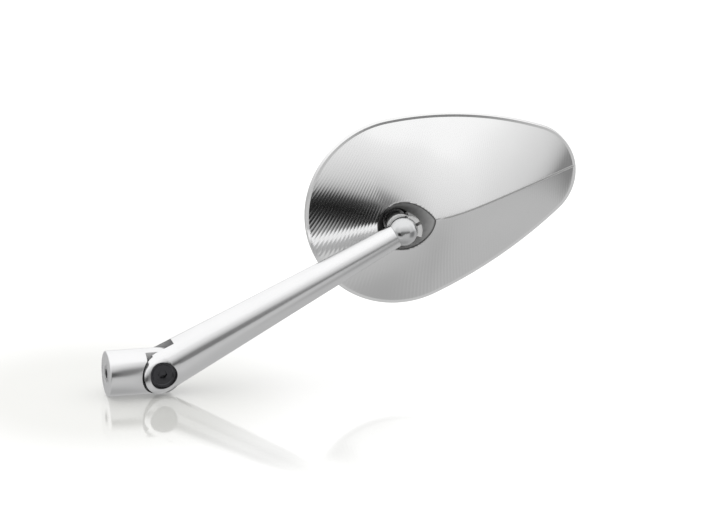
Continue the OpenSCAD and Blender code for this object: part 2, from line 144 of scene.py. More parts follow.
def metal(name, colour, rough, grain=(1, 1, 1), turn=(0, 0, 0), centre=(0, 0, 0), grainScale=900,
          bump=0.00001, strength=0.3, patchScale=60, patchAmount=0.04, edge=0.3, edgeColour=(0.95,) * 3,
          radial=False, second=None):
    mat = bpy.data.materials.new(name)
    mat.use_nodes = True
    tree = mat.node_tree
    shader = tree.nodes["Principled BSDF"]
    shader.inputs["Metallic"].default_value = 1
    coords = place(tree, "ShaderNodeTexCoord").outputs["Object"]
    moved = place(tree, "ShaderNodeMapping", vector_type="TEXTURE")
    feed(tree, moved.inputs["Vector"], coords)
    moved.inputs["Location"].default_value = centre
    moved.inputs["Rotation"].default_value = turn
    along = moved.outputs[0]
    if radial:  # rings round the local Y axis, as a facing cut leaves them
        parts = place(tree, "ShaderNodeSeparateXYZ")
        feed(tree, parts.inputs[0], along)
        out = maths(tree, "SQRT", maths(tree, "ADD", maths(tree, "POWER", parts.outputs[0], 2.0),
                                        maths(tree, "POWER", parts.outputs[2], 2.0)))
        joined = place(tree, "ShaderNodeCombineXYZ")
        feed(tree, joined.inputs[0], out)
        feed(tree, joined.inputs[1], parts.outputs[1])
        along = joined.outputs[0]
    scaled = place(tree, "ShaderNodeMapping")
    feed(tree, scaled.inputs["Vector"], along)
    scaled.inputs["Scale"].default_value = grain
    surface = place(tree, "ShaderNodeGroup", node_tree=metalSurface)
    feed(tree, surface.inputs["Grain Vector"], scaled.outputs[0])
    feed(tree, surface.inputs["Plain Vector"], coords)
    for key, value in (("Grain Scale", grainScale), ("Patch Scale", patchScale),
                       ("Patch Amount", patchAmount), ("Edge Amount", edge), ("Base Roughness", rough)):
        surface.inputs[key].default_value = value
    tone = place(tree, "ShaderNodeVectorMath", operation="SCALE")
    tone.inputs[0].default_value = colour
    feed(tree, tone.inputs["Scale"], surface.outputs["Tone"])
    mix = place(tree, "ShaderNodeMix", data_type="RGBA")
    feed(tree, mix.inputs["Factor"], surface.outputs["Edge"])
    feed(tree, mix.inputs["A"], tone.outputs[0])
    mix.inputs["B"].default_value = (*edgeColour, 1)
    tint, dullnessAndShade = mix.outputs["Result"], surface.outputs["Roughness"]
    if second:  # where the attribute is set, the metal gets painted shade: it is darker, rougher and less metallic
        share = place(tree, "ShaderNodeAttribute", attribute_name=second["share"]).outputs["Fac"]
        other = place(tree, "ShaderNodeMix", data_type="RGBA")
        feed(tree, other.inputs["Factor"], share)
        feed(tree, other.inputs["A"], tint)
        other.inputs["B"].default_value = (*second["colour"], 1)
        tint = other.outputs["Result"]
        dullnessAndShade = maths(tree, "ADD", dullnessAndShade, remap(tree, share, 0, second["full"], 0, second["rougher"], True))
        feed(tree, shader.inputs["Metallic"],
             remap(tree, share, 0, second["full"], 1, second["metallic"], True))
    feed(tree, shader.inputs["Base Color"], tint)
    feed(tree, shader.inputs["Roughness"], dullnessAndShade)
    bumpNode = place(tree, "ShaderNodeBump")
    bumpNode.inputs["Strength"].default_value = strength
    bumpNode.inputs["Distance"].default_value = bump
    feed(tree, bumpNode.inputs["Height"], surface.outputs["Height"])
    feed(tree, shader.inputs["Normal"], bumpNode.outputs[0])
    return mat


# Painted shade: the attribute's share of the dark colour that stands in for shade; the roughness is full
# from a small share on
shaded = {"share": "paintedShadeShare", "colour": (0.03, 0.03, 0.03), "rougher": 0.38, "metallic": 0.35,
          "full": 0.15}
armTurn = (0, -layout["armAngle"], 0)
pivotAt = (layout["baseLength"] * mm, 0, 0)
finishes = {
    "milled_aluminium": metal("milledAluminium", (0.93, 0.93, 0.93), 0.13, grain=(1, 1, 0.1),
                              turn=(0, 0.1, 0), centre=ballAt, grainScale=1500, bump=0.000004,
                              patchScale=45, patchAmount=0.03, edge=0.15, second=shaded),
    "machined_aluminium": metal("turnedAluminium", (0.92, 0.92, 0.925), 0.24, grain=(1, 0.03, 0.03),
                                turn=armTurn, centre=pivotAt, grainScale=2600, bump=0.000006,
                                patchScale=70, patchAmount=0.05, edge=0.3, second=shaded),
    "socket_aluminium": metal("socketAluminium", (0.9, 0.9, 0.895), 0.2, centre=ballAt, radial=True,
                              grainScale=2200, bump=0.000006, edge=0.35, second=shaded),
    "polished_steel": metal("polishedSteel", (0.73, 0.735, 0.74), 0.15, centre=ballAt,
                            grainScale=1800, bump=0.000002, strength=0.15, patchAmount=0.03, edge=0),
    "plain_steel": metal("plainSteel", (0.6, 0.6, 0.6), 0.3, centre=pivotAt, radial=True,
                         grainScale=1500, edge=0.3, second=shaded),
    "spring_steel": metal("springSteel", (0.4, 0.4, 0.42), 0.35, radial=True, centre=pivotAt),
    # light edges on the blackened screw: worn edges and a painted highlight along them
    "black_steel": metal("blackenedSteel", (0.075, 0.075, 0.08), 0.2, centre=pivotAt, radial=True,
                         grainScale=420, bump=0.00025, patchScale=260, patchAmount=0.5, edge=0.8,
                         edgeColour=(0.4, 0.4, 0.4)),
    "bronze": metal("bearingBronze", (0.6, 0.42, 0.2), 0.32, grainScale=1200),
}


matt = {"detail": 5, "noise": (0.3, 0.7), "tone": (0.85, 1.15), "roughSpread": 0.08, "strength": 0.5}


def soft(name, colour, rough, scale, bump):
    mat = bpy.data.materials.new(name)
    mat.use_nodes = True
    tree = mat.node_tree
    shader = tree.nodes["Principled BSDF"]
    coords = place(tree, "ShaderNodeTexCoord").outputs["Object"]
    noise = place(tree, "ShaderNodeTexNoise")
    feed(tree, noise.inputs["Vector"], coords)
    noise.inputs["Scale"].default_value = scale
    noise.inputs["Detail"].default_value = matt["detail"]
    shade = remap(tree, noise.outputs[0], *matt["noise"], *matt["tone"])
    tone = place(tree, "ShaderNodeVectorMath", operation="SCALE")
    tone.inputs[0].default_value = colour
    feed(tree, tone.inputs["Scale"], shade)
    feed(tree, shader.inputs["Base Color"], tone.outputs[0])
    feed(tree, shader.inputs["Roughness"],
         remap(tree, noise.outputs[0], *matt["noise"], rough - matt["roughSpread"],
               rough + matt["roughSpread"]))
    bumpNode = place(tree, "ShaderNodeBump")
    bumpNode.inputs["Strength"].default_value = matt["strength"]
    bumpNode.inputs["Distance"].default_value = bump
    feed(tree, bumpNode.inputs["Height"], noise.outputs[0])
    feed(tree, shader.inputs["Normal"], bumpNode.outputs[0])
    return mat


finishes["seat_plastic"] = soft("seatPlastic", (0.02, 0.02, 0.021), 0.4, 900, 0.00002)
finishes["foam"] = soft("adhesiveFoam", (0.05, 0.05, 0.052), 0.85, 2500, 0.0001)
finishes["seal_rubber"] = soft("sealRubber", (0.018, 0.018, 0.018), 0.55, 1300, 0.00002)


def mirrorGlass():
    mat = metal("mirrorGlass", (0.80, 0.84, 0.86), 0.03, grainScale=40, bump=0.0000002, strength=0.1,
                patchScale=25, patchAmount=0.015, edge=0)
    mat.node_tree.nodes["Principled BSDF"].inputs["Coat Weight"].default_value = 1.0
    mat.node_tree.nodes["Principled BSDF"].inputs["Coat Roughness"].default_value = 0.02
    return mat


finishes["mirror_glass"] = mirrorGlass()
print("finishes made:", len(finishes))


# Pieces that keep the CAD shape get rounded edges on a merged copy

rounding = {"merge": 2e-6, "flat": math.radians(0.3), "segments": 2, "angle": math.radians(32),
            "sharp": math.radians(40)}


def clean(mesh):
    for name in ("custom_normal", "UVMap"):
        if name in mesh.attributes:
            mesh.attributes.remove(mesh.attributes[name])
    shape = bmesh.new()
    shape.from_mesh(mesh)
    bmesh.ops.remove_doubles(shape, verts=shape.verts, dist=rounding["merge"])
    bmesh.ops.dissolve_limit(shape, angle_limit=rounding["flat"], verts=shape.verts, edges=shape.edges)
    shape.to_mesh(mesh)
    shape.free()


def finished(name, mesh, nodeName):
    piece = bpy.data.objects.new(name, mesh)
    scene.collection.objects.link(piece)
    mesh.materials.clear()
    mesh.materials.append(finishes[slotOf[nodeName]])
    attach(piece, bodyOf[nodeName])
    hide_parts(nodeName)
    return piece


def refine(nodeName, name, width):
    mesh = cadNodes[nodeName].data.copy()
    clean(mesh)
    raw = bpy.data.objects.new("raw", mesh)
    scene.collection.objects.link(raw)
    bevel = raw.modifiers.new("bevel", "BEVEL")
    bevel.width = width * mm
    bevel.segments = rounding["segments"]
    bevel.limit_method = "ANGLE"
    bevel.angle_limit = rounding["angle"]
    made = bpy.data.meshes.new_from_object(raw.evaluated_get(bpy.context.evaluated_depsgraph_get()))
    bpy.data.objects.remove(raw)
    made.name = name
    made.shade_smooth()
    made.set_sharp_from_angle(angle=rounding["sharp"])
    return finished(name, made, nodeName)


def markPaintedShade(piece, rule):
    # rule gives each face its share of painted shade, from the faces' middles, their distance from the
    # pivot and their normals' y
    mesh = piece.data
    middle, normal = np.empty(len(mesh.polygons) * 3), np.empty(len(mesh.polygons) * 3)
    mesh.polygons.foreach_get("center", middle)
    mesh.polygons.foreach_get("normal", normal)
    x, y, z = (middle.reshape(-1, 3) / mm).T
    share = rule(x, y, z, np.hypot(x - layout["baseLength"], z), np.abs(normal[1::3]))
    mesh.attributes.new("paintedShadeShare", "FLOAT", "FACE").data.foreach_set("value", share.astype(np.float32))


bevels = {"base_knuckle": ("baseBody", 0.2), "thread_insert": ("threadInsert", 0.15),
          "arm": ("taperedArm", 0.2), "pivot_screw": ("pivotScrew", 0.2),
          "pivot_nut": ("pivotNut", 0.15), "socket_cup": ("ballSocket", 0.18),
          "ball_stud": ("ballStud", 0.05), "glass_seal": ("glassSeal", 0.1),
          "mirror_glass": ("mirrorGlass", 0.12)}
refined = {nodeName: refine(nodeName, *how) for nodeName, how in bevels.items()}

# Painted shade on them, in gaps, slots and bores between parts: distances from the pivot (ear, shoulder,
# slot), half widths and shares
gap = {"ear": (9.6, 10.05), "earShare": 0.8, "slotHalf": 4.22, "slotEnd": 12.4, "slotShare": 0.6,
       "armEnd": 0.3, "armEndShare": 0.5, "shoulder": (10.9, 11.3), "cheek": 3.7, "shoulderShare": 0.85,
       "tongue": (3.7, 3.9), "tongueShare": 0.4, "threadStart": 0.4, "threadRadius": 3.5,
       "threadShare": 0.9, "socketBack": 7.1, "backShare": 0.9, "socketRim": 6.5, "rimShare": 0.12,
       "sideways": 0.3, "facing": 0.9}


def between(value, limits):
    return (value > limits[0]) & (value < limits[1])


def armShade(x, y, z, r, ny):
    ends = between(r, gap["ear"]) & (ny < gap["sideways"])
    slot = (np.abs(y) < gap["slotHalf"]) & (r < gap["slotEnd"])
    far = r > r.max() - gap["armEnd"]
    return gap["earShare"] * ends + gap["slotShare"] * slot + gap["armEndShare"] * far


def baseShade(x, y, z, r, ny):
    shoulders = between(r, gap["shoulder"]) & (ny < gap["sideways"]) & (np.abs(y) > gap["cheek"])
    tongue = between(np.abs(y), gap["tongue"]) & (ny > gap["facing"])
    return np.where(shoulders, gap["shoulderShare"], gap["tongueShare"] * tongue)


def threadShade(x, y, z, r, ny):
    return gap["threadShare"] * ((x > gap["threadStart"]) & (np.hypot(y, z) < gap["threadRadius"]))


def socketShade(x, y, z, r, ny):
    return np.where(y > gap["socketBack"], gap["backShare"], gap["rimShare"] * (y > gap["socketRim"]))


for nodeName, rule in (("arm", armShade), ("base_knuckle", baseShade), ("thread_insert", threadShade),
                       ("socket_cup", socketShade)):
    markPaintedShade(refined[nodeName], rule)
print("rounded copies made:", len(bevels))


# Head: four arcs for the outline, and upright sections that rise to a ridge

head = {"broadRadius": 48.4, "narrowRadius": 25.9, "upperRadius": 169.0, "lowerRadius": 231.0,
        "broadAt": (3.75, 3.0), "endShift": (65.6, 15.3), "land": 1.5, "edgeY": 24.0, "faceY": 27.6,
        "domeHeight": 25.2, "peakX": 24.0, "creaseSharp": 0.75, "creaseEnd": 21.0,
        "creaseSlope": 0.209, "ridgeSlope": -0.12, "slopeTurn": 8.0, "creaseStart": -12.0,
        "creaseGrow": 30.0, "peakRound": 0.2, "creaseRound": 0.35, "wall": 3.0, "lip": 1.2, "shelf": 3.0,
        "pocketY": 24.5, "coneAngle": math.radians(31.5), "coneEnd": 16.0, "boreRadius": 7.1,
        "floorY": 19.5, "bossEnd": 21.6, "bossWall": 2.4, "stemHole": 4.04, "chamfer": 0.22,
        "boreBevel": 0.25, "stemBevel": 0.15, "lipBevel": 0.12, "outlineTrim": 0.03,
        "sharpAngle": math.radians(36)}
# how finely it is built: points round the rim, spacing of points and gaps left beside loops
grid = {"rimPoints": 320, "rimGuess": 0.28, "rimTries": 12, "rimSearch": (5.0, 26.0), "halvings": 40,
        "outlineStep": 0.4, "rows": (-46, 53), "endGap": 0.9, "skinGap": 0.16, "ridgeFrom": 10,
        "ridgeGap": 1.1, "ridgeRows": (-0.7, -0.3, 0, 0.3, 0.7), "innerStep": 2.2, "innerGap": 0.8,
        "coneRings": (0, 0.05, *np.linspace(0, 1, 9)[1:]), "bossRings": (0.25, 0.5, 0.75),
        "probe": 0.05, "weld": 1e-9}
# its painted shade: the recess's cone, darkest on its left wall, a dark line round its rim and a shadow
# line along the crease
shade = {"cone": 0.36, "coneLeft": 0.9, "leftFrom": 0.35, "leftOver": 0.4, "rim": 0.9, "rimFrom": -0.5,
         "rimOver": 0.3, "crease": 0.5, "creaseHalf": 0.35, "creaseFrom": 18, "creaseOver": 4}
broadC = np.array(head["broadAt"])
narrowC = broadC + np.array(head["endShift"])
rB, rN = head["broadRadius"], head["narrowRadius"]
xMin, xMax = broadC[0] - rB, narrowC[0] + rN
peakY = head["edgeY"] - head["domeHeight"]


def edgeCentre(radius, side):
    apart = np.hypot(*head["endShift"])
    along = np.array(head["endShift"]) / apart
    across = side * np.array([-along[1], along[0]])
    a, b = radius - rB, radius - rN
    s = (a * a - b * b + apart * apart) / (2 * apart)
    return broadC + along * s - across * math.sqrt(a * a - s * s)


upperC, lowerC = edgeCentre(head["upperRadius"], 1), edgeCentre(head["lowerRadius"], -1)


def angleOf(v):
    return math.atan2(v[1], v[0])


upperArc = angleOf(narrowC - upperC), angleOf(broadC - upperC)
lowerArc = angleOf(broadC - lowerC), angleOf(narrowC - lowerC)
arcs = [(upperC, head["upperRadius"], *upperArc),
        (broadC, rB, upperArc[1], lowerArc[0] + 2 * math.pi),
        (lowerC, head["lowerRadius"], *lowerArc), (narrowC, rN, lowerArc[1], upperArc[0])]


def outline(inset, step):
    rows = []
    for centre, radius, start, end in arcs:
        count = max(4, round(radius * (end - start) / step))
        angles = start + (end - start) * np.arange(count) / count
        r = radius - inset - head["outlineTrim"]
        rows.append(centre + r * np.stack([np.cos(angles), np.sin(angles)], 1))
    return np.concatenate(rows)


def circleZ(centre, radius, x):
    return np.sqrt(np.maximum(0, radius ** 2 - (x - centre[0]) ** 2))


def edgeZ(x, inset, side):
    bow, arc, bowRadius = ((upperC, upperArc[::-1], head["upperRadius"]) if side > 0
                           else (lowerC, lowerArc, head["lowerRadius"]))
    left, right = (bow[0] + bowRadius * math.cos(a) for a in arc)
    return np.where(x < left, broadC[1] + side * circleZ(broadC, rB - inset, x),
                    np.where(x > right, narrowC[1] + side * circleZ(narrowC, rN - inset, x),
                             bow[1] + side * circleZ(bow, bowRadius - inset, x)))


def smooth01(t):
    c = np.clip(t, 0, 1)
    return c * c * (3 - 2 * c)


def ridgeY(x):  # the ridge's height, level with the edge at both ends
    v = np.where(x < head["peakX"], (head["peakX"] - x) / (head["peakX"] - xMin - head["land"]),
                 (x - head["peakX"]) / (xMax - head["land"] - head["peakX"]))
    r = head["peakRound"]
    return peakY + head["domeHeight"] * (np.hypot(v, r) - r) / (math.hypot(1, r) - r)


def bend(x):  # runs from one slope over into the other
    steep, slack = head["creaseSlope"], head["ridgeSlope"]
    return (steep + slack) / 2 * x + (steep - slack) / 2 * np.hypot(x, head["slopeTurn"])


def ridgeZ(x):
    return head["creaseEnd"] + bend(x) - bend(xMax)


def domeY(x, z):  # a section from the ridge (t 0) to the edge (t 1), sharp and round ones mixed
    ridge = ridgeZ(x)
    edge = np.where(z > ridge, edgeZ(x, head["land"], 1), edgeZ(x, head["land"], -1))
    t = np.clip((z - ridge) / (edge - ridge), 0, 1)
    e = head["creaseRound"] / np.abs(edge - ridge)
    a = head["creaseSharp"] * smooth01((x - head["creaseStart"]) / head["creaseGrow"])
    rounded = (np.sqrt(t * t + e * e) - e) / (np.sqrt(1 + e * e) - e)
    return ridgeY(x) + (head["edgeY"] - ridgeY(x)) * (a * rounded + (1 - a) * t * t)


def meet(surface, coneAt, angles):  # radius at which a cone round the ball's axis leaves the surface
    low, high = (np.full_like(angles, limit) for limit in grid["rimSearch"])
    for _ in range(grid["halvings"]):
        mid = (low + high) / 2
        y = surface(mid * np.cos(angles), mid * np.sin(angles))
        inside = mid < coneAt(y)
        low, high = np.where(inside, mid, low), np.where(inside, high, mid)
    return (low + high) / 2


# Cutter passes: how far along the passes a point lies, counted in grooves

passes = {"x": 0.61435, "y": -0.38133, "z": -0.21738, "xx": 0.00278, "xz": 0.00305,
          "samples": 6, "rowStep": 0.95, "rowSamples": 900, "cutterRadius": 7.5, "edgeFade": 0.6,
          "rimFade": 0.4}


def passAt(x, z):
    return (passes["x"] * x + passes["y"] * domeY(x, z) + passes["z"] * z
            + passes["xx"] * x * x + passes["xz"] * x * z)


def fillSkin(outer, inner, inside, flat):
    # Triangles between two loops through the inside points, with even sides in the flat plane
    points = np.concatenate([outer, inner, inside])
    nO, nI = len(outer), len(inner)
    sides = [(k, (k + 1) % nO) for k in range(nO)] + [(nO + k, nO + (k + 1) % nI) for k in range(nI)]
    plane = np.stack(flat(points[:, 0], points[:, 1]), 1)
    corners = [Vector(p) for p in plane.tolist()]
    _, _, faces, came, _, _ = delaunay_2d_cdt(corners, sides, [], 0, grid["weld"])
    came = np.array([c[0] for c in came])
    tris = came[np.array(faces)]
    onOuter, onInner = (tris < nO).all(1), ((tris >= nO) & (tris < nO + nI)).all(1)
    middle = plane[tris].mean(1)
    a, b = plane[:nO], np.roll(plane[:nO], -1, 0)
    doubtful = np.nonzero(onOuter)[0]
    mx, mz = middle[doubtful, 0][:, None], middle[doubtful, 1][:, None]
    with np.errstate(divide="ignore", invalid="ignore"):
        crossed = ((a[:, 1] > mz) != (b[:, 1] > mz)) & (
            mx < (b[:, 0] - a[:, 0]) * (mz - a[:, 1]) / (b[:, 1] - a[:, 1]) + a[:, 0])
    keep = ~onInner
    keep[doubtful[crossed.sum(1) % 2 == 0]] = False
    return points, tris[keep]


def within(x, z, inset, holeAngles, holeRadii, gap):
    far = np.hypot(x, z) > np.interp(np.arctan2(z, x), holeAngles, holeRadii, period=2 * math.pi) + gap
    return far & (z < edgeZ(x, inset + gap, 1)) & (z > edgeZ(x, inset + gap, -1))


def coneAt(y):
    return head["boreRadius"] + (head["coneEnd"] - y) * math.tan(head["coneAngle"])


def bossAt(y):
    return np.maximum(head["boreRadius"], coneAt(y)) + head["bossWall"]


def innerY(x, z):
    return np.minimum(head["pocketY"] - 0.2, domeY(x, z) + head["wall"])


def makeHead():
    creaseAngle = grid["rimGuess"]
    for _ in range(grid["rimTries"]):
        r = meet(domeY, lambda y: coneAt(y) + head["chamfer"], np.array([creaseAngle]))[0]
        creaseAngle = math.atan2(float(ridgeZ(r * math.cos(creaseAngle))), r * math.cos(creaseAngle))
    angles = creaseAngle + np.arange(grid["rimPoints"]) * 2 * math.pi / grid["rimPoints"]
    rimR = meet(domeY, lambda y: coneAt(y) + head["chamfer"], angles)
    rim = rimR[:, None] * np.stack([np.cos(angles), np.sin(angles)], 1)
    outer = outline(head["land"], grid["outlineStep"])
    step, samples = passes["rowStep"], passes["samples"]

    # inside points: rows a step apart, columns at whole shares of a groove
    def onRow(zOf, low, high):
        x = np.linspace(low, high, passes["rowSamples"])
        phase = passAt(x, zOf(x)) * samples
        wanted = np.arange(math.ceil(phase[0]), math.floor(phase[-1]) + 1)
        found = np.interp(wanted, phase, x)
        return np.stack([found, zOf(found)], 1)

    rows = [onRow(lambda x, z=z: np.full_like(x, z), xMin + grid["endGap"], xMax - grid["endGap"])
            for z in np.arange(*grid["rows"], step)]
    rows = np.concatenate(rows)
    onCrease = ((rows[:, 0] > grid["ridgeFrom"])
                & (np.abs(rows[:, 1] - ridgeZ(rows[:, 0])) < grid["ridgeGap"]))
    rows = rows[~onCrease]
    ridges = [onRow(lambda x, o=o: ridgeZ(x) + o, grid["ridgeFrom"], xMax - grid["endGap"])
              for o in grid["ridgeRows"]]
    inside = np.concatenate([rows, *ridges])
    inside = inside[within(inside[:, 0], inside[:, 1], head["land"], angles, rimR, grid["skinGap"])]
    skin, tris = fillSkin(outer, rim, inside, lambda x, z: (passAt(x, z) * samples, z / step))
    x, z = skin[:, 0], skin[:, 1]
    parts = [np.stack([x, domeY(x, z), z], 1)]
    faces = [tris]
    total = len(skin)
    nO, nI = len(outer), len(rim)

    def ring(xz, y):
        nonlocal total
        parts.append(np.stack([xz[:, 0], np.broadcast_to(y, len(xz)), xz[:, 1]], 1))
        total += len(xz)
        return np.arange(total - len(xz), total)

    def strip(a, b, outward):
        a2, b2 = np.roll(a, -1), np.roll(b, -1)
        corners = (a2, a, b, b2) if outward else (a, a2, b2, b)
        quads = np.stack(corners, 1)
        faces.append(np.concatenate([quads[:, :3], quads[:, [0, 2, 3]]]))

    # the inner skin, seen from the cavity
    shelf = head["lip"] + head["shelf"]
    holeR = meet(innerY, bossAt, angles)
    hole = holeR[:, None] * np.stack([np.cos(angles), np.sin(angles)], 1)
    gx, gz = np.meshgrid(np.arange(xMin, xMax, grid["innerStep"]),
                         np.arange(*grid["rows"], grid["innerStep"]))
    spots = np.stack([gx.ravel(), gz.ravel()], 1)
    spots = spots[within(spots[:, 0], spots[:, 1], shelf, angles, holeR, grid["innerGap"])]
    inSkin, inTris = fillSkin(outline(shelf, grid["outlineStep"]), hole, spots, lambda x, z: (x, z))
    inStart = total
    parts.append(np.stack([inSkin[:, 0], innerY(inSkin[:, 0], inSkin[:, 1]), inSkin[:, 1]], 1))
    faces.append(inTris[:, ::-1] + inStart)
    total += len(inSkin)

    # round the outside: land, chamfer, wall, lip, pocket and shelf
    c, face, lip, bevel = head["chamfer"], head["faceY"], head["lip"], head["lipBevel"]
    at = np.arange(nO)
    for inset, y in ((c, head["edgeY"]), (0, head["edgeY"] + c), (0, face - c), (c, face),
                     (lip - bevel, face), (lip, face - bevel), (lip, head["pocketY"]),
                     (shelf, head["pocketY"])):
        nextRing = ring(outline(inset, grid["outlineStep"]), y)
        strip(at, nextRing, True)
        at = nextRing
    strip(at, inStart + np.arange(nO), True)

    # down the recess, through the bore and back up the boss
    turn = np.stack([np.cos(angles), np.sin(angles)], 1)
    rimY = domeY(rim[:, 0], rim[:, 1])
    coneTop = rimY + c
    at = nO + np.arange(nI)
    steps = [coneTop + (head["coneEnd"] - coneTop) * f for f in grid["coneRings"]]
    rings = [(coneAt(y), y) for y in steps]
    bore, hub, stem, end = head["boreRadius"], head["floorY"], head["stemHole"], head["bossEnd"]
    wide, small = head["boreBevel"], head["stemBevel"]
    rings += [(bore, hub - wide), (bore - wide, hub), (stem + small, hub), (stem, hub + small),
              (stem, end), (bore + head["bossWall"], end)]
    holeY = innerY(hole[:, 0], hole[:, 1])
    rings += [(bossAt(end + (holeY - end) * f), end + (holeY - end) * f) for f in grid["bossRings"]]
    # painted shade on these rings: the cone mid-grey and black on its left wall, a dark line round the rim
    # except on the left, and the bore, floor and boss black
    dullnessAndShade = []
    coneShare = (shade["cone"] + (shade["coneLeft"] - shade["cone"])
                 * smooth01((-turn[:, 0] - shade["leftFrom"]) / shade["leftOver"]))
    for radius, y in rings:
        nextRing = ring(turn * np.broadcast_to(radius, nI)[:, None], y)
        strip(at, nextRing, False)
        at = nextRing
        dullnessAndShade.append(coneShare if len(dullnessAndShade) < len(steps) - 1 else np.ones(nI))
    dullnessAndShade[0] = shade["rim"] * smooth01((turn[:, 0] - shade["rimFrom"]) / shade["rimOver"])
    strip(at, inStart + nO + np.arange(nI), False)

    points = np.concatenate(parts)
    allFaces = np.concatenate(faces)
    mesh = bpy.data.meshes.new("headRaw")
    mesh.from_pydata((points * mm + np.array(ballAt)).tolist(), [], allFaces.tolist())

    # what the cutter passes need at each point
    h = grid["probe"]
    slopeX = (passAt(x + h, z) - passAt(x - h, z)) / (2 * h)
    slopeZ = (passAt(x, z + h) - passAt(x, z - h)) / (2 * h)
    edgeGap = np.minimum(edgeZ(x, head["land"], 1) - z, z - edgeZ(x, head["land"], -1))
    rimGap = np.hypot(x, z) - np.interp(np.arctan2(z, x), angles, rimR, period=2 * math.pi)
    share = smooth01(edgeGap / passes["edgeFade"]) * smooth01(rimGap / passes["rimFade"])
    for name, values in (("passCount", passAt(x, z)), ("passPitch", mm / np.hypot(slopeX, slopeZ)),
                         ("passShare", share)):
        full = np.zeros(len(points), np.float32)
        full[:len(skin)] = values
        mesh.attributes.new(name, "FLOAT", "POINT").data.foreach_set("value", full)
    full = np.zeros(len(points), np.float32)
    full[total - nI * len(dullnessAndShade):] = np.concatenate(dullnessAndShade)
    # a painted shadow line along the crease, fading in from x 18
    line = np.abs(z - ridgeZ(x)) < shade["creaseHalf"]
    full[:len(skin)] = shade["crease"] * line * smooth01((x - shade["creaseFrom"]) / shade["creaseOver"])
    full[nO:nO + nI] = dullnessAndShade[0]
    mesh.attributes.new("paintedShadeShare", "FLOAT", "POINT").data.foreach_set("value", full)
    return mesh, ((0, nO), (nO, nI))


def cutterPasses():
    # Each pass leaves a shallow round groove, deepest between two cusps
    tree, ins, outs = newGroup("cutterPasses", "GeometryNodeTree",
                               [("Geometry", "NodeSocketGeometry", None),
                                ("Cutter Radius", "NodeSocketFloat", 0.003),
                                ("Finish", "NodeSocketMaterial", None)],
                               [("Geometry", "NodeSocketGeometry")])
    read = {}
    for name in ("passCount", "passPitch", "passShare"):
        got = place(tree, "GeometryNodeInputNamedAttribute", data_type="FLOAT")
        got.inputs["Name"].default_value = name
        read[name] = got.outputs["Attribute"]
    half = maths(tree, "MULTIPLY", read["passPitch"], 0.5)
    across = maths(tree, "MULTIPLY", read["passPitch"],
                   maths(tree, "SUBTRACT", maths(tree, "FRACT", read["passCount"]), 0.5))
    depth = maths(tree, "SUBTRACT", maths(tree, "MULTIPLY", half, half),
                  maths(tree, "MULTIPLY", across, across))
    depth = maths(tree, "DIVIDE", depth, maths(tree, "MULTIPLY", ins.outputs["Cutter Radius"], -2.0))
    depth = maths(tree, "MULTIPLY", depth, read["passShare"])
    push = place(tree, "ShaderNodeVectorMath", operation="SCALE")
    feed(tree, push.inputs[0], place(tree, "GeometryNodeInputNormal").outputs[0])
    feed(tree, push.inputs["Scale"], depth)
    move = place(tree, "GeometryNodeSetPosition")
    feed(tree, move.inputs["Geometry"], ins.outputs["Geometry"])
    feed(tree, move.inputs["Offset"], push.outputs[0])
    real = place(tree, "GeometryNodeRealizeInstances")
    feed(tree, real.inputs[0], move.outputs[0])
    paint = place(tree, "GeometryNodeSetMaterial")
    feed(tree, paint.inputs["Geometry"], real.outputs[0])
    feed(tree, paint.inputs["Material"], ins.outputs["Finish"])
    feed(tree, outs.inputs[0], paint.outputs[0])
    return tree


def evaluated(raw, tree, values):
    modifier = raw.modifiers.new("nodes", "NODES")
    modifier.node_group = tree
    for item in tree.interface.items_tree:
        if item.name in values:
            modifier[item.identifier] = values[item.name]
    made = bpy.data.meshes.new_from_object(raw.evaluated_get(bpy.context.evaluated_depsgraph_get()))
    raw.modifiers.remove(modifier)
    bpy.data.objects.remove(raw)
    return made


rawMesh, skinLoops = makeHead()
rawHead = bpy.data.objects.new("rawHead", rawMesh)
scene.collection.objects.link(rawHead)
headMesh = evaluated(rawHead, cutterPasses(), {"Cutter Radius": passes["cutterRadius"] * mm,
                                               "Finish": finishes["milled_aluminium"]})
for name in ("passCount", "passPitch", "passShare"):
    headMesh.attributes.remove(headMesh.attributes[name])
headMesh.name = "machinedHead"
headMesh.shade_smooth()
headMesh.set_sharp_from_angle(angle=head["sharpAngle"])
# the skin's own edges are sharp too: along the land and round the recess
ends = np.empty(len(headMesh.edges) * 2, int)
headMesh.edges.foreach_get("vertices", ends)
ends = np.sort(ends.reshape(-1, 2), 1)
sharp = headMesh.attributes.get("sharp_edge") or headMesh.attributes.new("sharp_edge", "BOOLEAN", "EDGE")
flags = np.empty(len(headMesh.edges), bool)
sharp.data.foreach_get("value", flags)
for first, count in skinLoops:
    inLoop = (ends >= first).all(1) & (ends < first + count).all(1)
    step = ends[:, 1] - ends[:, 0]
    flags |= inLoop & ((step == 1) | (step == count - 1))
sharp.data.foreach_set("value", flags)
finished("machinedHead", headMesh, "head_shell")
print("head made:", len(headMesh.polygons), "faces")

# CAD pieces that keep their own mesh take the same finishes
for nodeName, cad in cadNodes.items():
    if not cad.hide_render:
        for holder in cad.material_slots:
            holder.material = finishes[slotOf[nodeName]]


# Camera: a long lens, far away, at the photograph's angle

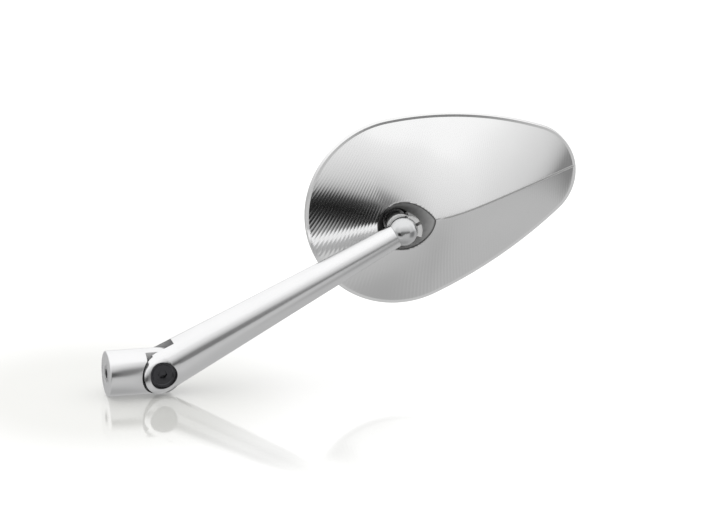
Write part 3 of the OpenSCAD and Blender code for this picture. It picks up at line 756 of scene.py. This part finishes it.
view = {"azimuth": math.radians(-13.4), "elevation": math.radians(17.6), "roll": math.radians(0.21),
        "distance": 6.0, "width": 356.0, "aimRight": -24.2, "aimUp": -14.01, "farClip": 50}
a, e = view["azimuth"], view["elevation"]
back = Vector((math.sin(a) * math.cos(e), -math.cos(a) * math.cos(e), math.sin(e)))
right = Vector((math.cos(a), math.sin(a), 0))
up = back.cross(right)
aim = ballAt + (right * view["aimRight"] + up * view["aimUp"]) * mm
camera = bpy.data.objects.new("camera", bpy.data.cameras.new("camera"))
scene.collection.objects.link(camera)
camera.data.lens = camera.data.sensor_width * view["distance"] / (view["width"] * mm)
camera.data.clip_end = view["farClip"]
turned = Matrix((right, up, back)).transposed().to_4x4() @ Matrix.Rotation(view["roll"], 4, "Z")
camera.matrix_world = Matrix.Translation(aim + back * view["distance"]) @ turned
scene.camera = camera
scene.view_settings.view_transform = "Standard"

# Studio: white above and mid-grey below, darker to the right, with a black gap to the left.
# Each zone lists heights in degrees and their brightness.

above = ((0, 0.42), (4, 0.56), (10, 0.66), (22, 0.74), (33, 0.84), (43, 0.98), (90, 1.05))
below = ((-90, 0.38), (-70, 0.41), (-60, 0.47), (-50, 0.50))
studio = {
    "front": (*below, (-34, 0.56), (-8, 0.56), *above),
    "left": (*below, (-46, 0.52), (-42, 0.68), (-35, 0.55), (-26, 0.45), (-23, 0.15), (-20, 0.01),
             (-8, 0.008), (-4, 0.04), *above),
    "right": (*below, (-40, 0.49), (-33, 0.36), (-26, 0.24), (-3, 0.22), *above),
    "behind": (*below, (-10, 0.47), (0, 0.7), (12, 1.0), (30, 1.0), (90, 1.05))}
zones = {"left": (-0.5, -0.2), "outer": (-0.93, -0.75), "right": (0.48, 0.83), "behind": (-0.3, 0.1)}


def ramp(tree, value, stops):
    made = place(tree, "ShaderNodeValToRGB")
    feed(tree, made.inputs[0], value)
    marks = made.color_ramp.elements
    while len(marks) < len(stops):
        marks.new(0.5)
    for mark, (at, level) in zip(marks, stops):
        mark.position = at
        mark.color = (level, level, level, 1)
    return made.outputs[0]


def gradient(tree, height, stops):
    return ramp(tree, height, [((math.sin(math.radians(angle)) + 1) / 2, level) for angle, level in stops])


world = bpy.data.worlds.new("studio")
scene.world = world
world.use_nodes = True
sky = world.node_tree
sky.nodes.clear()
direction = place(sky, "ShaderNodeSeparateXYZ")
feed(sky, direction.inputs[0], place(sky, "ShaderNodeTexCoord").outputs["Generated"])
height = remap(sky, direction.outputs[2], -1, 1, 0, 1)
flatSize = maths(sky, "SQRT", maths(sky, "ADD", maths(sky, "POWER", direction.outputs[0], 2.0),
                                    maths(sky, "POWER", direction.outputs[1], 2.0)))
across = maths(sky, "DIVIDE", direction.outputs[0], flatSize)
inward = maths(sky, "DIVIDE", direction.outputs[1], flatSize)
light = gradient(sky, height, studio["front"])
for name, value, start, end in (("left", across, *zones["left"][::-1]),
                                ("front", across, *zones["outer"][::-1]),
                                ("right", across, *zones["right"]),
                                ("behind", inward, *zones["behind"])):
    blend = place(sky, "ShaderNodeMix", data_type="RGBA")
    feed(sky, blend.inputs["Factor"], remap(sky, value, start, end, 0, 1, True))
    feed(sky, blend.inputs["A"], light)
    feed(sky, blend.inputs["B"], gradient(sky, height, studio[name]))
    light = blend.outputs["Result"]
seen = place(sky, "ShaderNodeMix", data_type="RGBA")
feed(sky, seen.inputs["Factor"], place(sky, "ShaderNodeLightPath").outputs["Is Camera Ray"])
feed(sky, seen.inputs["A"], light)
seen.inputs["B"].default_value = (1, 1, 1, 1)
glow = place(sky, "ShaderNodeBackground")
feed(sky, glow.inputs["Color"], seen.outputs["Result"])
feed(sky, place(sky, "ShaderNodeOutputWorld").inputs["Surface"], glow.outputs[0])

# Table: white and slightly glossy, so that the mirror shows faintly in it

def flatPiece(name, corners):
    mesh = bpy.data.meshes.new(name)
    mesh.from_pydata(corners, [], [tuple(range(len(corners)))])
    made = bpy.data.objects.new(name, mesh)
    scene.collection.objects.link(made)
    mesh.materials.append(bpy.data.materials.new(name))
    mesh.materials[0].use_nodes = True
    return made, mesh.materials[0].node_tree


table = {"level": -layout["baseRadius"] * mm - 0.00002, "half": 6.0, "roughness": 0.06,
         "specular": (0.5, 0.04),
         "ior": 2.8, "mirrorNear": 0.12, "mirrorFar": 0.18, "shadeNear": 0.05, "shadeFar": 0.12,
         "colour": ((0.60, 0.60, 0.575, 1), (0.42, 0.42, 0.41, 1)), "glow": (0.10, 0.41, 0.62)}
h, z = table["half"], table["level"]
tableTop, tree = flatPiece("table", [(-h, -h, z), (h, -h, z), (h, h, z), (-h, h, z)])
tableTop.visible_glossy = False
paint = tree.nodes["Principled BSDF"]
away = place(tree, "ShaderNodeVectorMath", operation="LENGTH")
feed(tree, away.inputs[0], place(tree, "ShaderNodeTexCoord").outputs["Object"])
away = away.outputs["Value"]
lessShade = remap(tree, away, table["shadeNear"], table["shadeFar"], 0, 1, True)
lessMirror = remap(tree, away, table["mirrorNear"], table["mirrorFar"], 0, 1, True)
paint.inputs["IOR"].default_value = table["ior"]
paint.inputs["Roughness"].default_value = table["roughness"]
feed(tree, paint.inputs["Specular IOR Level"], remap(tree, lessMirror, 0, 1, *table["specular"]))
# a slightly warm floor colour, warmest near the object: a painted tint for the warm light reflected there
tint = place(tree, "ShaderNodeMix", data_type="RGBA")
feed(tree, tint.inputs["Factor"], lessShade)
tint.inputs["A"].default_value, tint.inputs["B"].default_value = table["colour"]
feed(tree, paint.inputs["Base Color"], tint.outputs["Result"])
paint.inputs["Emission Color"].default_value = (1, 1, 1, 1)
near, middle, outside = table["glow"]
glowing = maths(tree, "ADD", remap(tree, lessShade, 0, 1, near, middle),
                remap(tree, lessMirror, 0, 1, 0, outside - middle))
feed(tree, paint.inputs["Emission Strength"],
     maths(tree, "MULTIPLY", place(tree, "ShaderNodeLightPath").outputs["Is Camera Ray"], glowing))

# Panel: stands in front, where only polished metal sees it. Each of its two fields grows
# paler upwards; the left one is black at the height of the arm. Its foot follows the arm.

panel = {"x": (-0.10, 0.32), "y": -0.2, "z": (-0.010, 0.30), "border": (0.018, 0.034),
         "foot": ((0.32, 0.050), (0.16, 0.045), (0.13, 0.020), (0.07, -0.010)),
         "left": ((-0.010, 0.03), (0.004, 0.01), (0.018, 0.006), (0.035, 0.02), (0.060, 0.04),
                  (0.076, 0.3), (0.092, 0.50), (0.125, 0.66), (0.20, 0.78), (0.30, 0.9)),
         "right": ((-0.010, 0.16), (0.08, 0.17), (0.10, 0.28), (0.13, 0.58), (0.20, 0.76), (0.30, 0.90))}
(x0, x1), (z0, z1) = panel["x"], panel["z"]
board, tree = flatPiece("panel", [(x, panel["y"], z)
                                  for x, z in ((x0, z0), (x0, z1), (x1, z1), *panel["foot"])])
board.visible_camera = board.visible_diffuse = board.visible_shadow = False
board.visible_transmission = board.visible_volume_scatter = False
paint = tree.nodes["Principled BSDF"]
paint.inputs["Base Color"].default_value = (0, 0, 0, 1)
paint.inputs["Specular IOR Level"].default_value = 0
spot = place(tree, "ShaderNodeSeparateXYZ")
feed(tree, spot.inputs[0], place(tree, "ShaderNodeTexCoord").outputs["Object"])
up01 = remap(tree, spot.outputs[2], z0, z1, 0, 1)
fields = [ramp(tree, up01, [((z - z0) / (z1 - z0), level) for z, level in panel[side]])
          for side in ("left", "right")]
both = place(tree, "ShaderNodeMix", data_type="RGBA")
feed(tree, both.inputs["Factor"], remap(tree, spot.outputs[0], *panel["border"], 0, 1, True))
feed(tree, both.inputs["A"], fields[0])
feed(tree, both.inputs["B"], fields[1])
feed(tree, paint.inputs["Emission Color"], both.outputs["Result"])
paint.inputs["Emission Strength"].default_value = 1

overhead = {"energy": 0.9, "angle": math.radians(120), "at": (0.1, 0, 1)}
lamp = bpy.data.lights.new("overhead", "SUN")
lamp.energy, lamp.angle = overhead["energy"], overhead["angle"]
lampAt = bpy.data.objects.new("overhead", lamp)
lampAt.location = overhead["at"]
lampAt.visible_glossy = False
scene.collection.objects.link(lampAt)

print("studio and camera ready")
